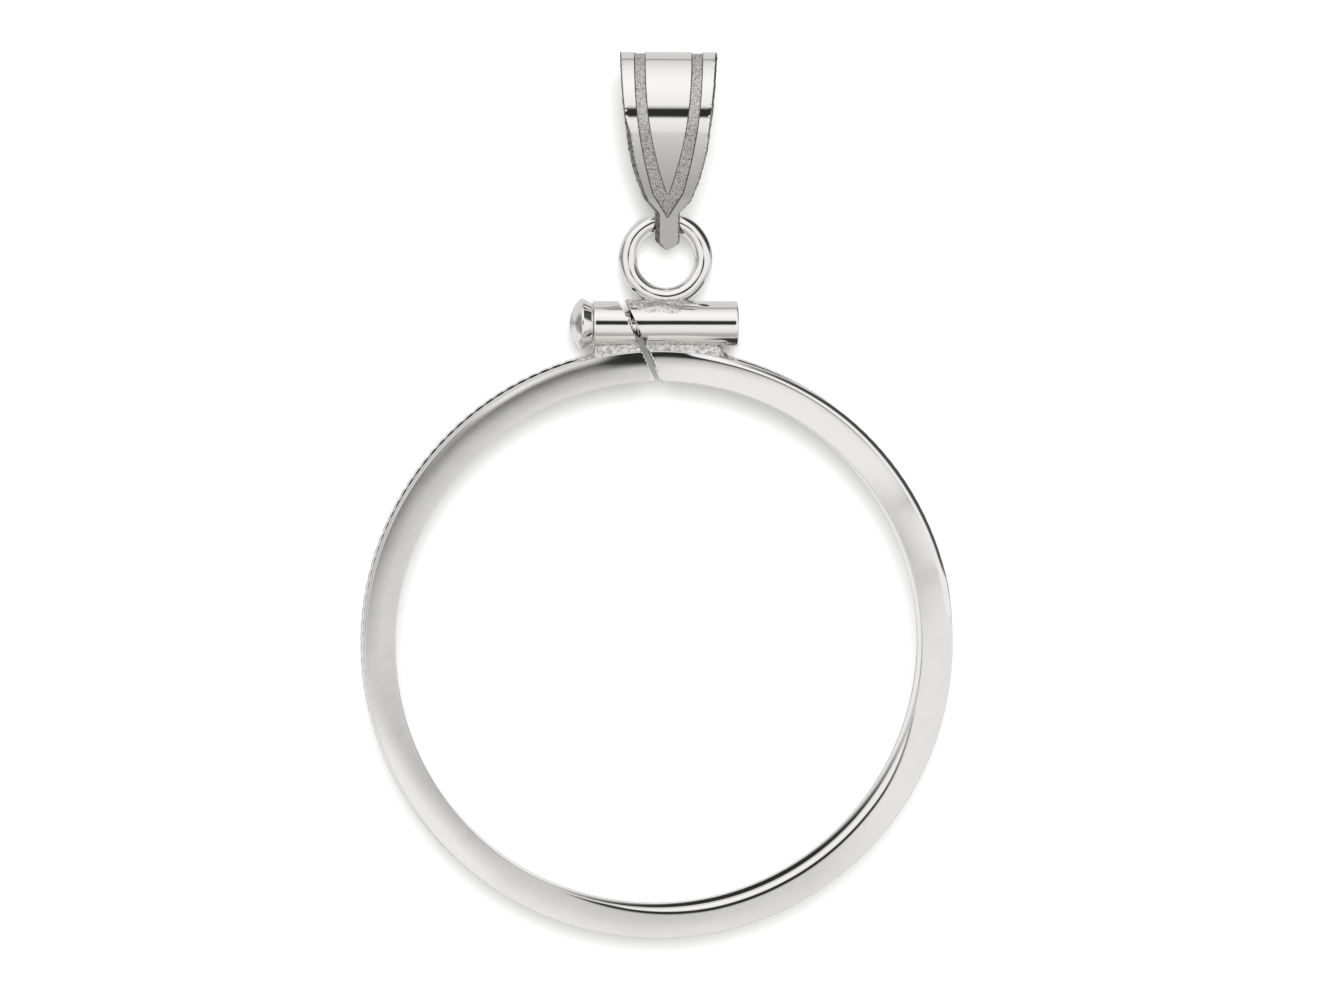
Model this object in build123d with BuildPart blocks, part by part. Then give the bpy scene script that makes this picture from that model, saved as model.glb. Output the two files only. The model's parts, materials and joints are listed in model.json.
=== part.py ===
"""Coin bezel pendant: a split channel rim closed by a screw, hung from a folded bail.

Sizes are in millimetres. The pendant lies on its back on the plane z = 0, with the rim's
axis along +Z through the origin and the bail towards +Y.
"""
from math import asin, atan2, cos, degrees, hypot, radians, sin, sqrt, tan
import os

from build123d import *

# Coin that the rim holds
coin_diameter = 27.0
coin_thickness = 2.1
coin_play = 0.1  # spare room across the coin's diameter, and across its thickness

# Rim, a channel bent round the coin's edge
wall_thickness = 0.85  # metal outside the coin's edge
lip_overlap = 0.62  # how far each lip reaches in over the coin's face
lip_thickness = 0.40
face_fall = 0.10  # the front face falls away a little from the window to the wall
crown_height = 0.022  # and is slightly domed
shoulder_radius = 0.26  # outer edge of the front face
lip_edge_radius = 0.12  # inner edge of the front face
flange_reach = 0.12  # the back edge stands out from the wall as a thin flange
flange_thickness = 0.46
flange_edge_radius = 0.06
notch_count = 146  # fine notches across the flange's edge
notch_width = 0.24
notch_depth = 0.11

# Slit that lets the rim spring open for the coin
slit_width = 0.34
slit_angle = 24.4  # lean of the slit, top to the left
slit_foot_x = -0.03  # where its middle crosses the window's edge

# Barrels, one tube cut by the slit, which the screw draws together
tube_diameter = 2.25
tube_gap = 0.145  # from the tube to the rim, filled with solder
tube_left_length = 3.21  # from the rim's middle to the left end
tube_right_length = 3.87
saddle_width = 1.30  # solder under the tube
saddle_toe = 0.85  # how far the solder runs out past the tube's ends
saddle_rise = 0.26  # height of the solder over the rim at the tube's ends
saddle_inset = 0.15  # from the tube's ends to the solder that climbs it

# Jump ring soldered on the tube
ring_wire_diameter = 0.87
ring_outer_diameter = 4.58
ring_offset_x = 0.35
ring_sink = 0.215  # depth of the wire in the tube and its solder
mound_length = 3.00  # solder under the ring, along the tube
mound_width = 1.10
mound_rise = 0.12

# Screw
thread_diameter = 1.50
thread_pitch = 0.35
thread_height = 0.13
thread_sink = 0.03  # root of the thread's ridge inside the shank
thread_start = 0.35  # plain neck between the head and the thread
bore_clearance = 0.05  # between the thread and the tube's bore, on the radius
head_diameter = 2.50
head_neck_diameter = 2.00
head_dome = 0.56
head_band = 0.08
head_cone = 0.48
head_gap = 0.04  # between the head and the tube's end
screw_end_inset = 0.60  # from the tube's right end to the screw's tip
screw_tip_chamfer = 0.12
slot_width = 0.36
slot_depth = 0.30

# Bail, a tapered leaf bent over the chain in a round loop and closed below the ring's wire
bail_height = 8.38  # from the wire's centre to the top of the loop
bail_width = 4.74  # across the top of the loop
bail_depth = 4.76  # front to back, across the belly of the loop
bail_tip_reach = 1.20  # from the wire's centre to the tip
leaf_thickness = 0.42
belly_below_top = 3.03  # from the top of the loop down to where it is deepest
belly_radius = 2.40
shoulder_bend_radius = 3.80  # between the belly and the top
roof_radius = 1.55  # over the top of the loop
leaf_lean = 11.0  # lean of the leaf where it leaves the belly
leaf_radius = 31.0  # slow bend of the leaf below the belly
neck_height = 1.40  # where the leaf ends and the flat of the arms and the tab starts
tab_depth = 0.90  # front to back at the tip
tab_width = 1.12
tab_end_radius = 0.46
wire_play = 0.25  # room for the jump ring's wire, on the radius
band_depth = 0.07  # the two matt bands lie below the polished face
bail_slip = 0.08  # the loose bail has slid a little to the right on the ring's wire,
bail_slew = 0.5  # lies slightly turned,
bail_roll = 3.4  # and leans with its right side up
floor_gap = 0.01  # under the resting bail

# Front outline of the bail and edges of its matt bands: share of the bail's height, and
# share of half its width
TAB_TOP = 0.075  # height only: the tab keeps its own width up to here
SIDE_FOOT = (0.155, 0.481)
SIDE_LOW = (0.310, 0.675)
SIDE_BELLY = (0.585, 0.859)
SIDE_HIGH = (0.788, 0.943)
BAND_OUTER = ((1.000, 0.710), (0.620, 0.610), (0.221, 0.316), (0.067, 0.0))
BAND_INNER = ((1.000, 0.469), (0.605, 0.350), (0.216, 0.0))

# Worked out from the sizes above
seat_radius = (coin_diameter + coin_play) / 2
rim_radius = seat_radius + wall_thickness
flange_radius = rim_radius + flange_reach
window_radius = coin_diameter / 2 - lip_overlap
rim_depth = 2 * lip_thickness + coin_thickness + coin_play
mid_depth = rim_depth / 2
tube_radius = tube_diameter / 2
tube_y = rim_radius + tube_gap + tube_radius
ring_wire_radius = ring_wire_diameter / 2
ring_radius = ring_outer_diameter / 2 - ring_wire_radius
ring_y = tube_y + tube_radius - ring_sink + ring_outer_diameter / 2
wire_y = ring_y + ring_radius
bore_radius = thread_diameter / 2 + bore_clearance
past = 1.0  # how far cutting shapes run past what they cut


def rim_height(x):
    """Height of the rim's outer surface above its centre, at x."""
    return sqrt(rim_radius**2 - x**2)


def slit_x(y):
    """Middle of the slit at the height y."""
    return slit_foot_x - tan(radians(slit_angle)) * (y - window_radius)


def corner(sketch, point):
    """The sketch's corner nearest to a point."""
    return sketch.vertices().sort_by_distance((*point, 0))[0]


def bow(start, end, bulge):
    """Middle of an arc from start to end, which bows by bulge to the left of that way."""
    run = hypot(end[0] - start[0], end[1] - start[1])
    left = ((start[1] - end[1]) / run, (end[0] - start[0]) / run)
    return ((start[0] + end[0]) / 2 + bulge * left[0], (start[1] + end[1]) / 2 + bulge * left[1])


# Rim: the channel's section turned round the Z axis
with BuildPart() as rim:
    with BuildSketch(Plane.XZ) as channel:
        lip_edge = (window_radius, rim_depth)
        shoulder = (rim_radius, rim_depth - face_fall)
        with BuildLine():
            Polyline(
                lip_edge,
                (window_radius, 0),
                (flange_radius, 0),
                (flange_radius, flange_thickness),
                (rim_radius, flange_thickness),
                shoulder,
            )
            ThreePointArc(lip_edge, bow(lip_edge, shoulder, crown_height), shoulder)
        make_face()
        fillet(corner(channel, shoulder), shoulder_radius)
        fillet(corner(channel, lip_edge), lip_edge_radius)
        fillet(corner(channel, (flange_radius, 0)), flange_edge_radius)
        fillet(corner(channel, (flange_radius, flange_thickness)), flange_edge_radius)
        with Locations((seat_radius, mid_depth)):
            Rectangle(2 * (seat_radius - window_radius) + past, rim_depth - 2 * lip_thickness,
                      align=(Align.MAX, Align.CENTER), mode=Mode.SUBTRACT)
    revolve(axis=Axis.Z)
    with PolarLocations(flange_radius, notch_count):
        Box(2 * notch_depth, notch_width, 2 * flange_thickness + flange_reach, mode=Mode.SUBTRACT)

# Tube along X, before the bore and the slit
with BuildPart() as tube:
    with BuildSketch(Plane.YZ.offset(-tube_left_length)):
        with Locations((tube_y, mid_depth)):
            Circle(tube_radius)
    extrude(amount=tube_left_length + tube_right_length)

# Solder between the tube and the rim
with BuildPart() as saddle:
    with BuildSketch(Plane.XY.offset(mid_depth)):
        toe_left = -tube_left_length - saddle_toe
        toe_right = tube_right_length + saddle_toe / 2
        foot_radius = rim_radius - wall_thickness / 2
        with BuildLine():
            Polyline(
                (toe_left, rim_height(toe_left)),
                (-tube_left_length, rim_height(tube_left_length) + saddle_rise),
                (-tube_left_length + saddle_inset, tube_y - tube_radius / 2),
                (-tube_left_length + saddle_inset, tube_y),
                (tube_right_length - saddle_inset, tube_y),
                (tube_right_length - saddle_inset, tube_y - tube_radius / 2),
                (tube_right_length, rim_height(tube_right_length) + saddle_rise),
                (toe_right, rim_height(toe_right)),
                (toe_right, sqrt(foot_radius**2 - toe_right**2)),
            )
            ThreePointArc(
                (toe_right, sqrt(foot_radius**2 - toe_right**2)),
                (0, foot_radius),
                (toe_left, sqrt(foot_radius**2 - toe_left**2)),
            )
            Line((toe_left, sqrt(foot_radius**2 - toe_left**2)), (toe_left, rim_height(toe_left)))
        make_face()
    extrude(amount=saddle_width / 2, both=True)

# Jump ring standing on the tube, with a low mound of solder at its foot
with BuildPart() as jump_ring:
    with Locations((ring_offset_x, ring_y, mid_depth)):
        Torus(ring_radius, ring_wire_radius)

with BuildPart() as mound:
    with BuildSketch(Plane.XY.offset(mid_depth)):
        with Locations((ring_offset_x, tube_y + tube_radius - ring_sink)):
            Ellipse(mound_length / 2, ring_sink + mound_rise)
    extrude(amount=mound_width / 2, both=True)

# The bezel: all that is soldered together, then bored for the screw and slit
with BuildPart() as split_bezel:
    add(rim)
    add(tube)
    add(saddle)
    add(jump_ring)
    add(mound)
    with BuildSketch(Plane.YZ.offset(-tube_left_length)):
        with Locations((tube_y, mid_depth)):
            Circle(bore_radius)
    extrude(amount=tube_left_length + tube_right_length, mode=Mode.SUBTRACT)
    with BuildSketch(Plane.XY):
        slit_top = tube_y + tube_radius + mound_rise
        slit_middle_y = (window_radius + slit_top) / 2
        with Locations(Location((slit_x(slit_middle_y), slit_middle_y), slit_angle)):
            Rectangle(slit_width, (slit_top - window_radius) / cos(radians(slit_angle)) + past)
    extrude(amount=rim_depth, mode=Mode.SUBTRACT)
split_bezel.part.label = "split_bezel"

# Screw: x = 0 of its own plane is the tube's left end, and the head lies at negative x
screw_plane = Plane(origin=(-tube_left_length, tube_y, mid_depth), x_dir=(1, 0, 0), z_dir=(0, 0, 1))
head_radius = head_diameter / 2
root_radius = thread_diameter / 2 - thread_height
screw_tip_x = tube_left_length + tube_right_length - screw_end_inset
cone_end = -head_gap
cone_start = cone_end - head_cone
band_start = cone_start - head_band
dome_start = band_start - head_dome
dome_radius = (head_radius**2 + head_dome**2) / (2 * head_dome)
dome_half_angle = asin(head_radius / dome_radius) / 2
dome_middle = (dome_start + dome_radius * (1 - cos(dome_half_angle)), dome_radius * sin(dome_half_angle))

with BuildPart() as clamp_screw:
    with BuildSketch(screw_plane):
        with BuildLine():
            ThreePointArc((dome_start, 0), dome_middle, (band_start, head_radius))
            Polyline(
                (band_start, head_radius),
                (cone_start, head_radius),
                (cone_end, head_neck_diameter / 2),
                (cone_end, root_radius),
                (screw_tip_x - screw_tip_chamfer, root_radius),
                (screw_tip_x, root_radius - screw_tip_chamfer),
                (screw_tip_x, 0),
                (dome_start, 0),
            )
        make_face()
    revolve(axis=Axis(screw_plane.origin, screw_plane.x_dir))
    thread_foot = screw_plane.from_local_coords((thread_start, 0, 0))
    thread_length = screw_tip_x - screw_tip_chamfer - thread_start - thread_pitch
    with BuildLine():
        thread_line = Helix(thread_pitch, thread_length, root_radius, center=thread_foot, direction=(1, 0, 0))
    with BuildSketch(Plane(thread_line @ 0, x_dir=thread_line @ 0 - thread_foot, z_dir=thread_line % 0)):
        with BuildLine():
            Polyline((-thread_sink, -thread_height), (thread_height, 0), (-thread_sink, thread_height), close=True)
        make_face()
    sweep(path=thread_line, is_frenet=True)
    with Locations(screw_plane.from_local_coords((dome_start, 0, 0))):
        Box(2 * slot_depth, head_diameter + past, slot_width, mode=Mode.SUBTRACT)
clamp_screw.part.label = "clamp_screw"

# Bail: it leans up from the wire until the belly of its back leaf lies on z = 0, on its
# left edge, which the roll turns down
half_width = bail_width / 2
half_depth = bail_depth / 2
belly_height = bail_height - belly_below_top  # from the wire's centre
eye_radius = ring_wire_radius + wire_play


def along(point):
    """A point of the front view from its shares of the bail's height and half width."""
    return (point[1] * half_width, point[0] * bail_height)


belly_drop = (half_depth - belly_radius) * cos(radians(bail_roll)) + along(SIDE_BELLY)[0] * sin(radians(bail_roll))
bail_lift = degrees(
    asin((belly_radius - mid_depth + floor_gap) / hypot(belly_height, belly_drop)) + atan2(belly_drop, belly_height)
)

# The bail's own planes have their origin on the wire's centre; x runs along the bail in
# the side view, and y in the front view
bail_up = Vector(0, cos(radians(bail_lift)), sin(radians(bail_lift))).rotate(Axis.Z, bail_slew)
bail_level = Vector(1, 0, 0).rotate(Axis.Z, bail_slew)
bail_across = bail_level.rotate(Axis((0, 0, 0), bail_up), -bail_roll)
bail_centre = (ring_offset_x + bail_slip, wire_y, mid_depth)
side_plane = Plane(origin=bail_centre, x_dir=bail_up, z_dir=bail_across)
front_plane = Plane(origin=bail_centre, x_dir=bail_across, z_dir=bail_across.cross(bail_up))

# Centres of the tangent arcs of the side view, from the leaf up to the roof
belly_centre = Vector(belly_height, half_depth - belly_radius)
roof_centre = Vector(bail_height - roof_radius, 0)
leaf_normal = Vector(-sin(radians(leaf_lean)), cos(radians(leaf_lean)))
leaf_centre = belly_centre - leaf_normal * (leaf_radius - belly_radius)
span = roof_centre - belly_centre
to_belly = shoulder_bend_radius - belly_radius
to_roof = shoulder_bend_radius - roof_radius
foot = (to_belly**2 - to_roof**2 + span.length**2) / (2 * span.length)
span_side = span.normalized().rotate(Axis.Z, -90)
shoulder_centre = belly_centre + span.normalized() * foot + span_side * sqrt(to_belly**2 - foot**2)
belly_normal = (belly_centre - shoulder_centre).normalized()
roof_normal = (roof_centre - shoulder_centre).normalized()
neck = (neck_height, leaf_centre.Y + sqrt(leaf_radius**2 - (neck_height - leaf_centre.X) ** 2))


def bend(centre, radius, start, end):
    """An arc of the side view about a centre, between two normal directions."""
    middle = (start + end).normalized()
    return ThreePointArc(centre + start * radius, centre + middle * radius, centre + end * radius)


with BuildSketch(side_plane) as outside:
    neck_normal = (Vector(*neck) - leaf_centre).normalized()
    with BuildLine():
        Polyline((bail_height, 0), (-bail_tip_reach, 0), (-bail_tip_reach, tab_depth / 2), neck)
        bend(leaf_centre, leaf_radius, neck_normal, leaf_normal)
        bend(belly_centre, belly_radius, leaf_normal, belly_normal)
        bend(shoulder_centre, shoulder_bend_radius, belly_normal, roof_normal)
        bend(roof_centre, roof_radius, roof_normal, Vector(1, 0))
    make_face()
    mirror(about=Plane.XZ)

# Hollow between the leaves: round under the wire
with BuildSketch(side_plane) as hollow:
    add(outside.sketch_local)
    offset(amount=-leaf_thickness, mode=Mode.REPLACE)
    Rectangle(bail_height, bail_depth, align=(Align.MAX, Align.CENTER), mode=Mode.SUBTRACT)
    Circle(eye_radius)

with BuildSketch(side_plane) as band_floor:
    add(outside.sketch_local)
    offset(amount=-band_depth, mode=Mode.REPLACE)

with BuildSketch(front_plane) as front_outline:
    with BuildLine():
        tab_top = (tab_width / 2, TAB_TOP * bail_height)
        Polyline((0, -bail_tip_reach), (tab_width / 2, -bail_tip_reach), tab_top, along(SIDE_FOOT))
        ThreePointArc(along(SIDE_FOOT), along(SIDE_LOW), along(SIDE_BELLY))
        ThreePointArc(along(SIDE_BELLY), along(SIDE_HIGH), (half_width, bail_height))
        Polyline((half_width, bail_height), (half_width, bail_height + past), (0, bail_height + past))
        Line((0, bail_height + past), (0, -bail_tip_reach))
    make_face()
    fillet(corner(front_outline, (tab_width / 2, -bail_tip_reach)), tab_end_radius)
    mirror(about=Plane.YZ)

with BuildSketch(front_plane) as bands:
    outer_top, outer_middle, outer_low, outer_tip = [along(point) for point in BAND_OUTER]
    inner_top, inner_middle, inner_tip = [along(point) for point in BAND_INNER]
    with BuildLine():
        Polyline(inner_top, (inner_top[0], bail_height + past), (outer_top[0], bail_height + past), outer_top)
        ThreePointArc(outer_top, outer_middle, outer_low)
        Polyline(outer_low, outer_tip, inner_tip)
        ThreePointArc(inner_tip, inner_middle, inner_top)
    make_face()
    mirror(about=Plane.YZ)

# The bands' recess: what lies outside the floor of the bands
with BuildPart() as recess:
    extrude(bands.sketch, amount=bail_depth, both=True)
    extrude(band_floor.sketch, amount=bail_width, both=True, mode=Mode.SUBTRACT)

with BuildPart() as front_prism:
    extrude(front_outline.sketch, amount=bail_depth, both=True)

with BuildPart() as bail:
    extrude(outside.sketch, amount=half_width + past, both=True)
    add(front_prism, mode=Mode.INTERSECT)
    extrude(hollow.sketch, amount=bail_width, both=True, mode=Mode.SUBTRACT)
    add(recess, mode=Mode.SUBTRACT)
bail.part.label = "bail"

os.makedirs("parts", exist_ok=True)
for piece in (split_bezel, clamp_screw, bail):
    export_step(piece.part, f"parts/{piece.part.label}.step")
    print(piece.part.label, round(piece.part.volume, 2), "mm3", piece.part.is_valid)
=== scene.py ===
"""Coin bezel pendant in rhodium-plated white gold, dressed round its packed model.

The rim, the barrels, their solder, the jump ring, the screw and the bail are modelled in
millimetres and turned to metres when each piece is finished.
"""
import json
from math import asin, atan2, ceil, cos, hypot, pi, radians, sin, sqrt, tan
from types import SimpleNamespace

import bmesh
import bpy
from bpy.props import FloatProperty, FloatVectorProperty, IntProperty, PointerProperty
from mathutils import Matrix, Vector, noise


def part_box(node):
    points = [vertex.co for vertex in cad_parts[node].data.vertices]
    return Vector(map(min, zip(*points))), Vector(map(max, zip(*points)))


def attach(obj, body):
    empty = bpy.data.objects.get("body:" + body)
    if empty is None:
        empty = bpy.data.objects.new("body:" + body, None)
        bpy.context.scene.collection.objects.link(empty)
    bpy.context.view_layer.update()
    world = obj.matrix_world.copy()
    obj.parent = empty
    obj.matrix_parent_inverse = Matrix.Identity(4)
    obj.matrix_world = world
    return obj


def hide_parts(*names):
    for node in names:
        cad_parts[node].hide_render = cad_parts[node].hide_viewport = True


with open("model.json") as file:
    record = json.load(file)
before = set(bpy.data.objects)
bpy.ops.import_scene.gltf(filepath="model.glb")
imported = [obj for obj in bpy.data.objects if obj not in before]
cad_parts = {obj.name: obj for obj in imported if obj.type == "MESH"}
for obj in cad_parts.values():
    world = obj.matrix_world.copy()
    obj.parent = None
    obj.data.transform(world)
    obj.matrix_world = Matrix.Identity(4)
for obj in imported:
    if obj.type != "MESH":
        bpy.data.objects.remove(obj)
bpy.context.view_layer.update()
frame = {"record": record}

bl_info = {
    "name": "Coin bezel pendant",
    "version": (1, 0, 0),
    "blender": (4, 5, 0),
    "location": "3D View > Sidebar > Bezel",
    "description": "Models a split coin bezel with its barrels, screw, jump ring and loop bail",
    "category": "Add Mesh",
}

MM = 0.001  # a millimetre in metres
TINY = 1e-5  # millimetres: points closer than this are one point
NEAR = 1e-4  # millimetres: a point this near to a plane lies in it
CLOSE = 1e-3  # millimetres: places this near count as the same place


def box_mm(node):
    """Lowest and highest corner of a CAD node, in millimetres."""
    low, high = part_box(node)
    return low / MM, high / MM


# Places that come from the packed model
BEZEL_HIGH = box_mm("split_bezel")[1]
SCREW_LOW, SCREW_HIGH = box_mm("clamp_screw")
MOUNTS = {mount["name"]: mount for mount in frame["record"]["mounts"]}
JOINTS = {joint["name"]: joint for joint in frame["record"]["behaviour"]["joints"]}
WINDOW_RADIUS = MOUNTS["coin_window"]["dims"]["r_mm"]
FLANGE_RADIUS = BEZEL_HIGH.x
WIRE_CENTRE = Vector(JOINTS["bail_swing"]["pos_m"]) / MM  # of the ring's wire, in the bail's eye
MIDDLE = WIRE_CENTRE.z  # half the rim's depth, at which the barrels and the ring lie
TUBE_Y = (SCREW_LOW.y + SCREW_HIGH.y) / 2
TUBE_AXIS = Vector((0, TUBE_Y, MIDDLE))
RING_TOP = BEZEL_HIGH.y


def length(name, description, millimetres):
    """A length property, whose default is given in millimetres."""
    return FloatProperty(name=name, description=description, default=millimetres * MM,
                         min=0.0, precision=5, unit="LENGTH")


def linear(hex_colour):
    """Linear red, green and blue of an sRGB hex colour."""
    parts = [int(hex_colour[i:i + 2], 16) / 255 for i in (1, 3, 5)]
    return [p / 12.92 if p <= 0.04045 else ((p + 0.055) / 1.055) ** 2.4 for p in parts]


def colour(name, description, hex_colour):
    """A colour property, whose default is given as sRGB hex."""
    return FloatVectorProperty(name=name, description=description, subtype="COLOR", size=3,
                               default=linear(hex_colour), min=0.0, max=1.0)


class RimSizes(bpy.types.PropertyGroup):
    """The channel bent round the coin's edge, and its back flange."""

    wall_radius: length("Wall radius", "Outside of the rim's wall", 14.40)
    seat_radius: length("Seat radius", "Bottom of the groove that holds the coin", 13.55)
    lip: length("Lip", "Thickness of the two lips over the coin's faces", 0.40)
    shoulder: length("Shoulder", "Rounding of the front face's outer edge", 0.09)
    rolled: length("Rolled edge", "Width of the outer edge that the buff rolled over, upper right", 0.23)
    rolled_radius: length("Rolled radius", "Radius of that rolled edge", 0.42)
    rolled_start: FloatProperty(name="Rolled start", description="Lean at which the rolled edge starts",
                                default=radians(30), subtype="ANGLE")
    swell: length("Swell", "How far the rolled edge was pushed out over the flange", 0.09)
    lip_edge: length("Lip edge", "Rounding of the front face's inner edge", 0.12)
    face_fall: length("Face fall", "How far the buff took the front face down at its inner edge", 0.06)
    buffed: length("Buffed edge", "Width of the inner edge that the buff wore down, lower right", 0.38)
    buff_radius: length("Buffed radius", "Radius of the lip's worn inner edge", 0.66)
    break_edge: length("Broken edge", "Rounding of the edges that were only deburred", 0.04)
    flange: length("Flange", "Thickness of the notched back flange", 0.46)
    flange_edge: length("Flange edge", "Rounding of the flange's edges", 0.06)
    notch_depth: length("Notch depth", "Depth of the fine notches in the flange", 0.03)
    notches: IntProperty(name="Notches", description="Notches round the flange", default=146, min=3)


class SlitSizes(bpy.types.PropertyGroup):
    """The sloping slit that lets the rim spring open."""

    width: length("Width", "Width of the slit", 0.34)
    angle: FloatProperty(name="Angle", description="Lean of the slit, its top to the left",
                         default=radians(24.4), subtype="ANGLE")
    foot_x: FloatProperty(name="Foot", description="Where the slit's middle meets the window's edge",
                          default=-0.03 * MM, precision=5, unit="LENGTH")
    break_edge: length("Broken edge", "Rounding of the slit's sawn edges", 0.03)


class BarrelSizes(bpy.types.PropertyGroup):
    """The tube that the slit divides into two barrels, and its solder."""

    diameter: length("Diameter", "Outside of the tube", 2.25)
    bore: length("Bore", "Hole for the screw", 1.60)
    left: length("Left length", "From the rim's middle to the tube's left end", 3.21)
    right: length("Right length", "From the rim's middle to the tube's right end", 3.87)
    end_edge: length("End edge", "Rounding of the tube's ends", 0.07)
    wave: length("Wave", "Unevenness of the hand-polished tube", 0.008)
    wave_size: length("Wave size", "Length of that unevenness", 1.60)
    saddle_width: length("Solder width", "Width of the solder along the rim", 1.50)
    saddle_waist: length("Solder waist", "Width of the solder below the tube", 1.02)
    saddle_toe: length("Solder toe", "How far the solder runs past the tube's left end", 0.85)
    saddle_rise: length("Solder rise", "Height of the solder at the tube's ends", 0.26)
    patch_length: length("Ring solder length", "Length of the solder at the jump ring's foot", 4.00)
    patch_height: length("Ring solder height", "Thickness of the solder at the ring's foot", 0.13)
    patch_shift: length("Ring solder shift", "How far that solder lies left of the tube's middle", 0.38)
    patch_reach: FloatProperty(name="Ring solder reach", description="How far it comes down the tube",
                               default=radians(70), subtype="ANGLE")
    patch_crust: length("Ring solder crust", "Thickness of its shell", 0.15)
    fillet: length("Fillet", "Height of the solder heaped up against the ring", 0.10)
    fillet_length: length("Fillet length", "Half the length of that heap along the tube", 1.05)
    grain: length("Solder grain", "Height of the crumbs on the solder", 0.05)
    grain_size: length("Solder grain size", "Size of the crumbs on the solder", 0.13)


class RingSizes(bpy.types.PropertyGroup):
    """The jump ring soldered on the tube."""

    wire: length("Wire", "Diameter of the ring's wire", 0.87)
    outside: length("Outside", "Outer diameter of the ring", 4.58)
    wave: length("Wave", "Unevenness of the hand-bent wire", 0.016)
    wave_size: length("Wave size", "Length of that unevenness", 0.80)


class ScrewSizes(bpy.types.PropertyGroup):
    """The screw that draws the barrels together."""

    head: length("Head", "Diameter of the head", 2.50)
    neck: length("Neck", "Diameter of the head's cone at the tube", 2.00)
    dome: length("Dome", "Height of the head's dome", 0.56)
    band: length("Band", "Length of the head's straight edge", 0.08)
    cone: length("Cone", "Length of the head's cone", 0.48)
    thread: length("Thread", "Outside diameter of the thread", 1.50)
    thread_height: length("Thread height", "Height of the thread", 0.13)
    pitch: length("Pitch", "Pitch of the thread", 0.35)
    tip: length("Tip", "Chamfer at the screw's tip", 0.12)
    slot_width: length("Slot width", "Width of the slot", 0.36)
    slot_depth: length("Slot depth", "Depth of the slot", 0.30)
    slot_edge: length("Slot edge", "Rounding of the slot's edges", 0.02)
    head_edge: length("Head edge", "Rounding of the head's edges", 0.05)
    neck_edge: length("Neck edge", "Rounding of the cone's edge at the tube", 0.03)
    thread_edge: length("Thread edge", "Rounding of the thread's crest", 0.02)
    thread_sunk: length("Thread sunk", "How far the thread's root is sunk in the shank", 0.03)


class BailSizes(bpy.types.PropertyGroup):
    """The tapered leaf bent over the chain in a round loop."""

    height: length("Height", "From the ring's wire to the top of the loop", 8.38)
    width: length("Width", "Width across the top of the loop", 4.74)
    depth: length("Depth", "Depth of the loop across its belly", 4.76)
    tip: length("Tip", "From the ring's wire down to the tip", 1.40)
    tip_depth: length("Tip depth", "Depth of the closed tab at its tip", 0.90)
    tip_edge: length("Tip edge", "Rounding of the tip's edges", 0.10)
    leaf: length("Leaf", "Thickness of the leaf", 0.42)
    roof_radius: length("Top radius", "Radius of the loop's top", 1.22)
    shoulder_radius: length("Shoulder radius", "Radius between the top and the belly", 4.80)
    belly: length("Belly", "From the ring's wire up to the belly, where the loop is deepest", 5.23)
    belly_radius: length("Belly radius", "Radius of the belly", 2.40)
    leaf_radius: length("Leaf radius", "Radius of the slow bend below the belly", 31.0)
    lean: FloatProperty(name="Lean", description="Lean of the leaf where it leaves the belly",
                        default=radians(10.0), subtype="ANGLE")
    neck: length("Neck", "From the wire up to where the slow bend ends", 1.40)
    eye: length("Eye", "Radius of the room for the ring's wire", 0.685)
    tab: length("Tab", "Width of the closed tab", 1.18)
    tab_end: length("Tab end", "Length of the tab's blunt point", 0.52)
    band_depth: length("Band depth", "Depth of the matt bands", 0.07)
    band_wall: length("Band wall", "Width of the step down to the bands", 0.05)
    grain: length("Band grain", "Height of the blasted grain", 0.020)
    grain_size: length("Band grain size", "Size of the blasted grain", 0.11)
    left_bevel: length("Left bevel", "Width of the rough bevel on the leaf's left edge, low down", 0.22)
    right_bevel: length("Right bevel", "Width of the rough bevel on the leaf's right edge, high up", 0.10)
    worn_bevel: length("Worn bevel", "Width of both bevels where they were worn away", 0.07)
    cut_grain: length("Cut grain", "Roughness of the leaf's sawn edges", 0.05)
    cut_grain_size: length("Cut grain size", "Size of the grain on the sawn edges", 0.13)
    row: length("Row", "Length of the mesh's rows along the leaf", 0.05)
    slip: length("Slip", "How far the loose bail has slid to the right on the wire", 0.08)
    floor_gap: length("Floor gap", "Gap under the resting belly", 0.01)
    slew: FloatProperty(name="Slew", description="Turn of the loose bail about the upright",
                        default=radians(0.5), subtype="ANGLE")
    roll: FloatProperty(name="Roll", description="Lean of the loose bail, its right side up",
                        default=radians(3.4), subtype="ANGLE")


class FinishColours(bpy.types.PropertyGroup):
    """Colours of the metal's finishes and of the floor."""

    plated: colour("Plated gold", "Rhodium-plated white gold, polished", "#E9E8E6")
    blasted: colour("Blasted gold", "White gold blasted with grit", "#D4D3D1")
    solder: colour("Solder", "White gold solder, left as it froze", "#E0DFDC")
    sawn: colour("Sawn gold", "White gold as the saw left it", "#949391")
    floor: colour("Floor", "White card under the pendant", "#F4F4F3")


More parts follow.
